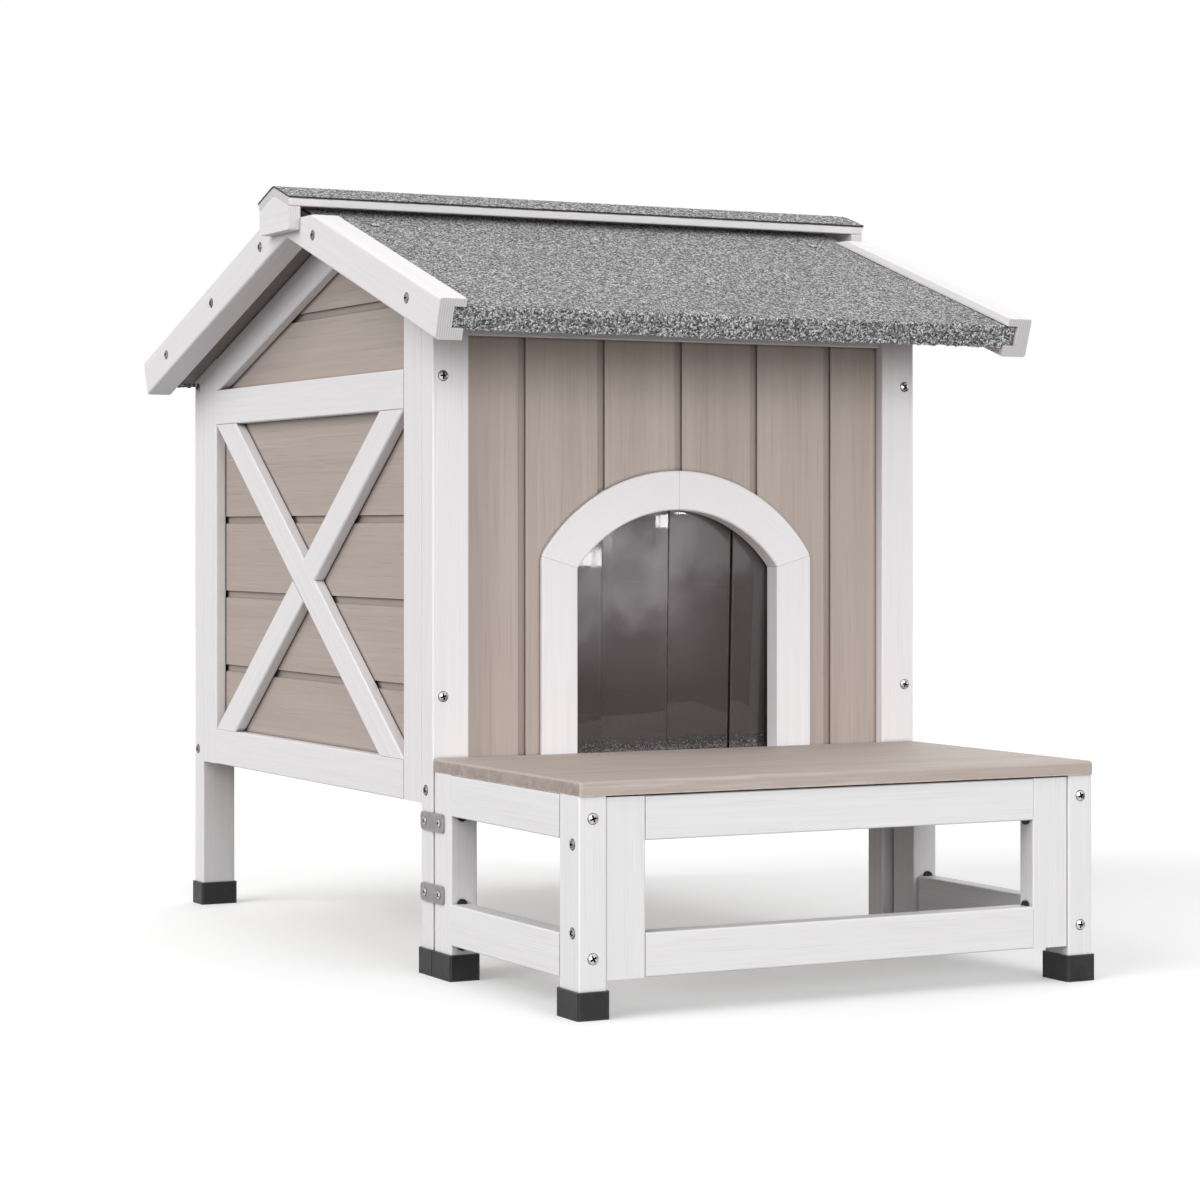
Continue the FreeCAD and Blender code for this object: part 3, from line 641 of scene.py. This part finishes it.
def mineral_granules():
    """Crushed mineral: every cell of two scatters of points has its own grey, raised towards its middle."""
    tree, start = effect_group("mineral_granules", {"Vector": "Vector"})
    point = start.outputs["Vector"]
    coarse = shader_node(tree, "TexVoronoi", {"Vector": point, "Scale": 620.0})
    fine = shader_node(tree, "TexVoronoi", {"Vector": point, "Scale": 1250.0})
    coarse_part = calculate(tree, "MULTIPLY", cell_grey(tree, coarse), 0.6)
    fine_part = calculate(tree, "MULTIPLY", cell_grey(tree, fine), 0.4)
    fall = calculate(tree, "MULTIPLY", coarse.outputs["Distance"], 1.2)
    return close_group(tree, {
        "Grey": calculate(tree, "ADD", coarse_part, fine_part),
        "Relief": calculate(tree, "SUBTRACT", 1.0, fall),
        "Drift": remap(tree, noise(tree, point, 14.0, 3.0), 0.3, 0.7),
    })


GRANULES = mineral_granules()


def grey_ramp(tree, value, stops):
    """The grey that a value from 0 to 1 stands for, from stops of a place and an 8-bit grey."""
    node = shader_node(tree, "ValToRGB", {0: value})
    while len(node.color_ramp.elements) < len(stops):
        node.color_ramp.elements.new(0.5)
    for element, (place, grey) in zip(node.color_ramp.elements, stops):
        element.position = place
        element.color = paint(grey, grey, grey)
    return node.outputs[0]


def mineral_felt(name):
    """Mineral-faced felt: a ramp from black bitumen to pale grey over the granules' greys, very rough."""
    material, tree, shader = new_material(name)
    grains = effect(tree, GRANULES, Vector=object_point(tree))
    mineral = grey_ramp(tree, grains["Grey"], ((0.2, 24), (0.40, 104), (0.60, 148), (0.86, 238)))
    connect(tree, shader, {
        "Base Color": coated(tree, mineral, {"drift": (grains["Drift"], 0.18, paint(112, 112, 113))}),
        "Roughness": 0.9,
        "Normal": bumped(tree, grains["Relief"], 0.0011, 0.8),
    })
    return material


def bitumen(name):
    """The cut edge of felt: black bitumen with a few torn grey fibres."""
    material, tree, shader = new_material(name)
    torn = noise(tree, object_point(tree), 700.0, 2.0)
    connect(tree, shader, {
        "Base Color": mixed(tree, remap(tree, torn, 0.5, 0.75), paint(20, 20, 21), paint(92, 92, 93)),
        "Roughness": 0.8,
        "Normal": bumped(tree, torn, 0.0004, 0.6),
    })
    return material


felt_finishes = (mineral_felt("mineral_felt"), bitumen("felt_edge"))
roof_board_thick = 0.016
felt_thick = 0.0025
felt_top = roof_board_thick + felt_thick
felt_clear = 0.0001
felt_columns, slope_rows, fold_rows, hem_steps = 440, 46, 7, 12
fold_radius = 0.003
hem_drop = 0.002
hidden_hem = 0.0005
hem_step = 0.0002
barge_gap = 0.0018
granule_relief = 0.00022
ridge_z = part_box("roof_board_front")[1].z - roof_board_thick / math.cos(ROOF_PITCH)
chance = np.random.default_rng(7)


def roof_place(way, down, out, x):
    """Points on a roof slope: down it from the ridge and out from the roof board's underside, at a width."""
    y = ridge_y + way * (down * math.cos(ROOF_PITCH) + out * math.sin(ROOF_PITCH))
    z = ridge_z - down * math.sin(ROOF_PITCH) + out * math.cos(ROOF_PITCH)
    return np.stack(np.broadcast_arrays(x, y, z), axis=-1)


def ragged(columns, amount, smooth):
    """A seeded uneven line: random steps averaged over a few neighbours and scaled to an amount."""
    steps = chance.uniform(-1, 1, columns + smooth - 1)
    line = np.convolve(steps, np.ones(smooth) / smooth, mode="valid")
    return line / np.abs(line).max() * amount


# The outer skin runs down the slope, round the eave in a quarter circle and down the hem to a ragged edge.
# The inner skin follows the board under it. In the bargeboards' grooves the hem stops short.
for slope, way in (("front", -1), ("rear", 1)):
    low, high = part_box("roof_felt_" + slope)
    hem_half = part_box("bargeboard_front_right")[0].x - barge_gap
    x = np.concatenate([[low.x, -hem_half - hem_step], np.linspace(-hem_half, hem_half, felt_columns),
                        [hem_half + hem_step, high.x]])
    shown = np.abs(x) <= hem_half
    eave_y = low.y if way < 0 else high.y
    eave = (abs(eave_y - ridge_y) - roof_board_thick * math.sin(ROOF_PITCH)) / math.cos(ROOF_PITCH)
    board_end = eave - felt_thick
    hem_edge = ragged(len(x), 0.0012, 3) + ragged(len(x), 0.0008, 25) - hem_drop
    hem_low = np.where(shown, hem_edge, hidden_hem)
    wave = ragged(len(x), 0.0004, 31) * shown
    fold = np.linspace(0, math.pi / 2, fold_rows)[1:]
    hem_part = np.linspace(0, 1, hem_steps)[1:]
    flat = np.linspace(0, 1, slope_rows) * (eave - fold_radius)
    down = np.concatenate([flat, flat[-1] + fold_radius * np.sin(fold), np.full(len(hem_part), eave)])
    out = np.concatenate([np.full(len(flat), felt_top), felt_top - fold_radius * (1 - np.cos(fold)),
                          np.full(len(hem_part), felt_top - fold_radius)])
    hem_share = np.concatenate([np.zeros(len(flat) + len(fold)), hem_part])[:, None]
    on_hem = hem_share > 0
    rough = chance.normal(0, granule_relief, (len(down), len(x))) * shown * on_hem
    swell = np.sin(np.linspace(0, math.pi, len(down)))[:, None] * wave
    down = np.repeat(down[:, None], len(x), axis=1)
    out = out[:, None] + hem_share * (hem_low - (felt_top - fold_radius))
    outer = roof_place(way, down + rough, out + swell, x)
    inner_down = np.where(on_hem, board_end + felt_clear, np.minimum(down, board_end))
    inner_out = np.where(on_hem, np.minimum(out, roof_board_thick), roof_board_thick + felt_clear)
    sheet = shell("felt_" + slope, outer, roof_place(way, inner_down, inner_out, x), felt_finishes)
    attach(sheet, "house")
    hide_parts("roof_felt_" + slope)


# Bargeboards
# Four grooved boards of whitewashed fir that hold the roof's edges, screwed through to the roof boards.
# Square-cut ends show the rings.

barge_grain = {"front": along(slope_turn(ROOF_PITCH), (0.45, 0.02, 0.016)),
               "rear": along(slope_turn(-ROOF_PITCH), (0.25, 0.01, 0.03))}
for slope, coordinates in barge_grain.items():
    finish = whitewash("whitewash_barge_" + slope, coordinates)
    wear(finish, f"bargeboard_{slope}_left", f"bargeboard_{slope}_right")


# Ridge cap
# Two whitewashed wings over the ridge, on a five-sided block at each end, under a strip of felt that is
# bent over the ridge and cut a little unevenly along its edges.

wear(whitewash("whitewash_wings", along(GRAIN_X, (0.35, 0.07, 0.02))), "ridge_wing_front", "ridge_wing_rear")
wear(whitewash("whitewash_end_blocks", along(GRAIN_Y, (0.1, 0.011, 0.006))), "ridge_end_blocks")
low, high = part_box("ridge_felt")
cap_thick = 0.002
cap_top = (high.z - ridge_z) * math.cos(ROOF_PITCH)
cap_length = ((high.y - low.y) / 2 - cap_top * math.sin(ROOF_PITCH)) / math.cos(ROOF_PITCH)
cap_columns, cap_rows = 520, 25
cap_across = np.linspace(-1, 1, cap_rows)[:, None]
cap_x = np.linspace(low.x, high.x, cap_columns)
cap_relief = 0.00012
cap_lower = 0.0003
cap_clear = 0.0002
crown_soft = 0.06
crown_sink = 0.0007


def cap_skin(out, length, raggedness):
    """The felt at a height over the roof's underside: two slopes that meet in a crown rounded like a
    hyperbola, each as long as the length, with an uneven lower edge."""
    ends = [length + ragged(cap_columns, raggedness, 5) - raggedness for _ in range(2)]
    reach = np.where(cap_across < 0, ends[0], ends[1])
    crown_down = -out * math.tan(ROOF_PITCH)
    down = crown_down + (reach - crown_down) * np.abs(cap_across)
    place = roof_place(1, down, out, 0.0)
    y = ridge_y + np.sign(cap_across) * (place[..., 1] - ridge_y)
    rounding = np.hypot(cap_across, crown_soft) - np.abs(cap_across)
    z = place[..., 2] - crown_sink * rounding / crown_soft
    return np.stack(np.broadcast_arrays(cap_x, y, z), axis=-1)


upwards = np.array([0.0, 0.0, 1.0])
bumps = chance.normal(0, cap_relief, (cap_rows, cap_columns, 1)) * upwards
cap_outer = cap_skin(cap_top, cap_length, 0.0009) + bumps - cap_lower * upwards
cap_inner = cap_skin(cap_top - cap_thick + cap_clear, cap_length, 0.0004)
cap_felt = shell("felt_ridge", cap_outer, cap_inner, felt_finishes)
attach(cap_felt, "house")
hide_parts("ridge_felt")


# Deck
# A taupe board on a whitewashed frame: four legs, rails between them and a framed front.
# Screwed at the corners, and carried to the house by the mending plates.

deck_grain = along(GRAIN_X, (0.4, 0.02, 0.03))
# The deck board's edges are painted pale, partly as wear and partly as highlight.
wear(taupe_stain("stain_deck_board", deck_grain, 1.01, edge_highlight_and_wear=1.0, scuffed=0.4), "deck_board")
deck_white = (234, 233, 234)
leg_grain = along(GRAIN_Z, (0.1, 0.043, 0.012))
wear(whitewash("whitewash_deck_legs", leg_grain, white=deck_white), "deck_legs_front", "deck_legs_rear")
side_rail_grain = along(GRAIN_Y, (0.5, 0.02, 0.04))
side_rail_finish = whitewash("whitewash_deck_rails", side_rail_grain, white=deck_white)
wear(side_rail_finish, "deck_side_rails_left", "deck_side_rails_right")
wear(cross_finish, "deck_rear_rail")
frame_stile_wide = 0.036
stile_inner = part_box("deck_front_frame")[1].x - frame_stile_wide
between_stiles = within("X", stile_inner - mask_margin)
frame_grain = either(between_stiles, along(GRAIN_X, (0.7, 0.03, 0.02)), along(GRAIN_Z, (0.2, 0.05, 0.01)))
wear(whitewash("whitewash_deck_frame", frame_grain, white=deck_white), "deck_front_frame")


# Foot caps
# Black plastic caps pushed over the feet of all eight legs. They are moulded with a satin texture, and
# their edges are painted paler, partly as rubbing and partly as highlight.

def black_plastic(name):
    """Moulded black plastic: a fine even texture, and edges painted grey, partly as scuffing and partly as
    highlight.
    """
    material, tree, shader = new_material(name)
    place = object_point(tree)
    smear = noise(tree, place, 60.0, 3.0)
    plain = mixed(tree, remap(tree, smear, 0.4, 0.7), paint(13, 13, 14), paint(30, 30, 32))
    # The edges are painted paler, partly as scuffing and partly as highlight.
    edge = effect(tree, EDGES, Gain=4.0)["Edge"]
    connect(tree, shader, {
        "Base Color": coated(tree, plain, {"edge highlight and wear": (edge, 0.7, paint(92, 92, 94))}),
        "Roughness": remap(tree, smear, 0.3, 0.7, 0.38, 0.55),
        "Specular IOR Level": 0.35,
        "Normal": bumped(tree, noise(tree, place, 900.0, 2.0), 0.0002, 0.5),
    })
    return material


wear(black_plastic("black_plastic"), "foot_caps")


# Mending plates
# Four short plates of galvanised steel with rounded corners. They join the deck's rear legs to the house's
# front legs, with two screws each.

def zinc_plate(name):
    """Galvanised steel: dull grey metal with faint spangles, and a painted highlight along the edges."""
    material, tree, shader = new_material(name)
    place = object_point(tree)
    spangles = shader_node(tree, "TexVoronoi", {"Vector": place, "Scale": 190.0})
    plain = mixed(tree, cell_grey(tree, spangles), paint(140, 137, 138), paint(151, 148, 149))
    smear = noise(tree, place, 120.0, 3.0)
    # The edges are painted brighter as a highlight.
    edge = effect(tree, EDGES, Gain=3.0)["Edge"]
    connect(tree, shader, {
        "Base Color": coated(tree, plain, {"edge highlight and wear": (edge, 0.4, paint(206, 206, 208))}),
        "Metallic": 1.0,
        "Roughness": remap(tree, smear, 0.3, 0.7, 0.42, 0.54),
        "Normal": bumped(tree, smear, 0.0001, 0.2),
    })
    return material


wear(zinc_plate("galvanised_steel"), "mending_plates")


# Screws
# Zinc-plated wood screws with cross recesses, driven through posts, legs, bargeboards, plates and roof.
# The heads are low domes, and crown more on the roof. Their rim and recess are painted dark as shade, and
# the heads that face sideways are painted darker as shade. Black ones are driven at a slant.

def head_places(name, corner_count):
    """Base centre, outward direction and radius of every screw head in a CAD node. Heads are alike flat
    discs, so the direction is the one they are thinnest along, towards the narrow end."""
    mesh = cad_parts[name].data
    flat = np.empty(len(mesh.vertices) * 3)
    mesh.vertices.foreach_get("co", flat)
    heads = flat.reshape(-1, corner_count, 3)
    centre = heads.mean(axis=1)
    spread = heads - centre[:, None]
    _, axes = np.linalg.eigh(np.einsum("hci,hcj->hij", spread, spread))
    out = axes[:, :, 0]
    height = np.einsum("hci,hi->hc", spread, out)
    radius = np.linalg.norm(spread - height[..., None] * out[:, None], axis=2)
    slant = np.einsum("hc,hc->h", height, radius - radius.mean(axis=1, keepdims=True))
    flip = np.where(slant > 0, -1.0, 1.0)
    out = out * flip[:, None]
    base = np.where(flip > 0, height.min(axis=1), -height.max(axis=1))
    return centre + base[:, None] * out, out, radius.max(axis=1)


def cross_head(steps):
    """A screw head of radius 1: a square grid pressed into a disc, domed by the square of the radius, with a
    cross-shaped recess whose walls lie between two close grid lines. Returns the dome, the flat base, where
    the dome is recessed, and how near each point is to the rim."""
    foot, crown = 0.06, 0.3
    arm_half, arm_long = 0.165, 0.62
    recess_deep, recess_rise = 0.04, 0.2
    rim_start, rim_fade = 0.78, 0.16
    u, v = np.meshgrid(steps, steps, indexing="ij")
    x = u * np.sqrt(1 - v ** 2 / 2)
    y = v * np.sqrt(1 - u ** 2 / 2)
    reach = np.maximum(np.abs(u), np.abs(v))
    recess = (np.minimum(np.abs(u), np.abs(v)) < arm_half) & (reach < arm_long)
    dome = np.where(recess, recess_deep + recess_rise * reach, foot + crown * (1 - x ** 2 - y ** 2))
    rim = np.clip((reach - rim_start) / rim_fade, 0, 1)
    return np.stack([x, y, dome], axis=-1), np.stack([x, y, np.zeros_like(x)], axis=-1), recess, rim


def zinc_screw(name):
    """Zinc-plated steel: bright on the dome, with painted shade grey round the rim and nearly black down in
    the recess, and painted darker as shade on the heads that have the larger side shade."""
    material, tree, shader = new_material(name)
    recess, rim, side_shade = (shader_node(tree, "Attribute", attribute_name=mask).outputs["Fac"]
                             for mask in ("recess", "rim", "side_shade"))
    smear = noise(tree, object_point(tree), 400.0, 2.0)
    connect(tree, shader, {
        "Base Color": coated(tree, paint(206, 205, 206), {
            "painted side shade": (side_shade, 1.0, paint(112, 109, 109)),
            "smears": (remap(tree, smear, 0.4, 0.7), 0.4, paint(150, 148, 148)),
            # The rim and the recess are painted dark as shade.
            "rim": (rim, 0.9, paint(70, 67, 67)),
            "recess": (recess, 1.0, paint(16, 15, 15)),
        }),
        "Metallic": 1.0,
        "Roughness": remap(tree, smear, 0.3, 0.7, 0.24, 0.38),
    })
    return material


head_corners = 72
shown_size = 1.2
roof_crown = 1.8
plate_side_shade = 0.1
plate_margin = 0.001
head_steps = np.array([0.0, 0.15, 0.18, 0.38, 0.60, 0.64, 0.80, 0.93, 1.0])
head_steps = np.concatenate([-head_steps[:0:-1], head_steps])
dome, base, recess, rim = cross_head(head_steps)
places, outs, radii = head_places("screws", head_corners)
turns = chance.uniform(0, math.pi / 2, len(places))[:, None]
helper = np.where(np.abs(outs[:, 2:3]) < 0.9, upwards, np.array([0.0, 1.0, 0.0]))
side = np.cross(helper, outs)
side /= np.linalg.norm(side, axis=1, keepdims=True)
arm_one = np.cos(turns) * side + np.sin(turns) * np.cross(outs, side)
arm_two = np.cross(outs, arm_one)
crowned = outs * np.where(outs[:, 2:3] > 0.5, roof_crown, 1.0)
axes = np.stack([arm_one, arm_two, crowned], axis=1) * (shown_size * radii[:, None, None])
local = np.concatenate([dome.reshape(-1, 3), base.reshape(-1, 3)])
head_points = (np.einsum("pk,hki->hpi", local, axes) + places[:, None]).reshape(-1, 3)
one_head = shell_faces(len(head_steps), len(head_steps))
head_faces = (one_head[None] + len(local) * np.arange(len(places))[:, None, None]).reshape(-1, 4)
heads = new_piece("screw_heads", head_points, head_faces, (zinc_screw("zinc_screws"),), smooth_under=30.0)
plate_low, plate_high = (np.array(corner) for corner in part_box("mending_plates"))
near_plates = np.all((places > plate_low - plate_margin) & (places < plate_high + plate_margin), axis=1)
# Heads that face sideways are painted darker as shade, by a random amount. Those on the plates get only a
# little.
sideways = np.abs(outs[:, 0])
head_side_shade = sideways * chance.uniform(0.7, 1.0, len(places))
head_side_shade = np.where(near_plates & (sideways > 0.5), plate_side_shade, head_side_shade)
head_masks = {
    "recess": np.tile(np.concatenate([recess.ravel(), np.zeros(recess.size)]), len(places)),
    "rim": np.tile(np.concatenate([rim.ravel(), np.ones(rim.size)]), len(places)),
    "side_shade": np.repeat(head_side_shade, len(local)),
}
for name, values in head_masks.items():
    heads.data.attributes.new(name, "FLOAT", "POINT").data.foreach_set("value", values.astype(np.float32))
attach(heads, "house")
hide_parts("screws")


def black_steel(name):
    """Blackened steel: dark and slightly glossy, in uneven patches."""
    material, tree, shader = new_material(name)
    smear = noise(tree, object_point(tree), 300.0, 2.0)
    connect(tree, shader, {
        "Base Color": mixed(tree, smear, paint(26, 25, 25), paint(58, 56, 55)),
        "Metallic": 0.6,
        "Roughness": remap(tree, smear, 0.3, 0.7, 0.35, 0.5),
    })
    return material


wear(black_steel("black_steel"), "toe_screws")


# Floor, light and camera
# A plain white floor under an even sky, with broad soft lamps low in front, on the left and behind. The
# curtain mirrors a window lamp and a screen at the front right that glows in grey bands though it is no
# lamp, which nothing else shows. The camera stands low at the left front corner, and looks level with its
# picture shifted down.

def seen_rays(tree):
    """1 for rays that show the studio itself: straight to the camera, mirrored or through glass."""
    path = shader_node(tree, "LightPath").outputs
    mirrored = calculate(tree, "MAXIMUM", path["Is Glossy Ray"], path["Is Transmission Ray"])
    return calculate(tree, "MAXIMUM", path["Is Camera Ray"], mirrored)


white = (1.0, 1.0, 1.0, 1.0)
floor_half = 9.0
floor_corners = floor_half * np.array([[-1, -1, 0], [1, -1, 0], [1, 1, 0], [-1, 1, 0]])
floor_finish, tree, shader = new_material("studio_floor")
connect(tree, shader, {"Base Color": (0.8, 0.8, 0.8, 1.0), "Roughness": 1.0, "Emission Color": white,
                       "Emission Strength": 0.27})
bounce = shader_node(tree, "BsdfDiffuse", {"Color": (0.28, 0.28, 0.28, 1.0)})
both = shader_node(tree, "MixShader", {0: seen_rays(tree), 1: bounce.outputs[0], 2: shader.outputs[0]})
connect(tree, tree.nodes["Material Output"], {"Surface": both.outputs[0]})
floor = new_piece("studio_floor", floor_corners, np.array([[0, 1, 2, 3]]), (floor_finish,))

sky_level = 0.47
world = bpy.data.worlds.new("even_sky")
world.use_nodes = True
tree = world.node_tree
sky_strength = remap(tree, seen_rays(tree), 0.0, 1.0, sky_level, 1.0)
connect(tree, tree.nodes["Background"], {"Color": white, "Strength": sky_strength})
bpy.context.scene.world = world

soft_lamps = {"front_lamp": (1.72, 35, (78, 0, 4)), "left_lamp": (2.05, 55, (62, 0, -80)),
              "fill_lamp": (1.15, 70, (75, 0, 140))}
for name, (strength, spread, turn) in soft_lamps.items():
    lamp = bpy.data.lights.new(name, "SUN")
    lamp.energy = strength
    lamp.angle = math.radians(spread)
    placed(name, lamp).rotation_euler = [math.radians(angle) for angle in turn]

# The screen is a path of distances and heights carried round the doorway. Its bands go by height.
doorway = np.array([-0.07, -0.145, 0.0])
screen_tall = 0.47
screen_path = np.array([[0.75, 0.002], [2.6, 0.285], [2.6, screen_tall]])
screen_turns = np.radians(np.linspace(4, 86, 30))
turn, away = np.meshgrid(screen_turns, screen_path[:, 0], indexing="ij")
around = np.broadcast_arrays(away * np.sin(turn), -away * np.cos(turn), screen_path[:, 1])
screen_points = (doorway + np.stack(around, axis=-1)).reshape(-1, 3)
# The screen glows in grey bands, though it is no lamp, and only mirrored rays see it.
screen_finish, tree, _ = new_material("glowing_screen")
hills = remap(tree, noise(tree, object_point(tree), 2.6, 5.0), 0.3, 0.7, -0.05, 0.05)
uneven = calculate(tree, "ADD", object_axis(tree, "Z"), hills)
bands = ((0.40, 40), (0.48, 182), (0.63, 176), (0.67, 92), (0.73, 92), (0.79, 255))
screen_grey = grey_ramp(tree, calculate(tree, "DIVIDE", uneven, screen_tall), bands)
glow = shader_node(tree, "Emission", {"Color": screen_grey, "Strength": 2.4})
connect(tree, tree.nodes["Material Output"], {"Surface": glow.outputs[0]})
screen_faces = grid_quads(np.arange(turn.size).reshape(turn.shape))
screen = new_piece("glowing_screen", screen_points, screen_faces, (screen_finish,))

window_turn = math.radians(35.5)
window_away = 2.5
window_high = 0.331
window_glare = 16.0
window_lamp = bpy.data.lights.new("window_lamp", "AREA")
window_lamp.shape = "RECTANGLE"
window_lamp.size = 0.445
window_lamp.size_y = 0.028
window_lamp.energy = window_glare * math.pi * window_lamp.size * window_lamp.size_y
window = placed("window_lamp", window_lamp)
window_offset = [window_away * math.sin(window_turn), -window_away * math.cos(window_turn), window_high]
window.location = doorway + np.array(window_offset)
window.rotation_euler = (math.pi / 2, 0.0, window_turn)
for mirrored_only in (screen, window):
    mirrored_only.visible_camera = False
    mirrored_only.visible_diffuse = False
    mirrored_only.visible_transmission = False
    mirrored_only.visible_shadow = False

camera = bpy.data.cameras.new("photo_camera")
camera.sensor_width = 36.0
camera.lens = 93.384
picture_side = 1200
horizon_row = 528.9
camera.shift_y = (horizon_row - picture_side / 2) / picture_side
viewpoint = placed("photo_camera", camera)
viewpoint.location = (-1.3688, -2.6672, 0.3923)
viewpoint.rotation_euler = (math.pi / 2, 0.0, math.radians(-27.23))
bpy.context.scene.camera = viewpoint
bpy.context.scene.view_settings.view_transform = "Standard"
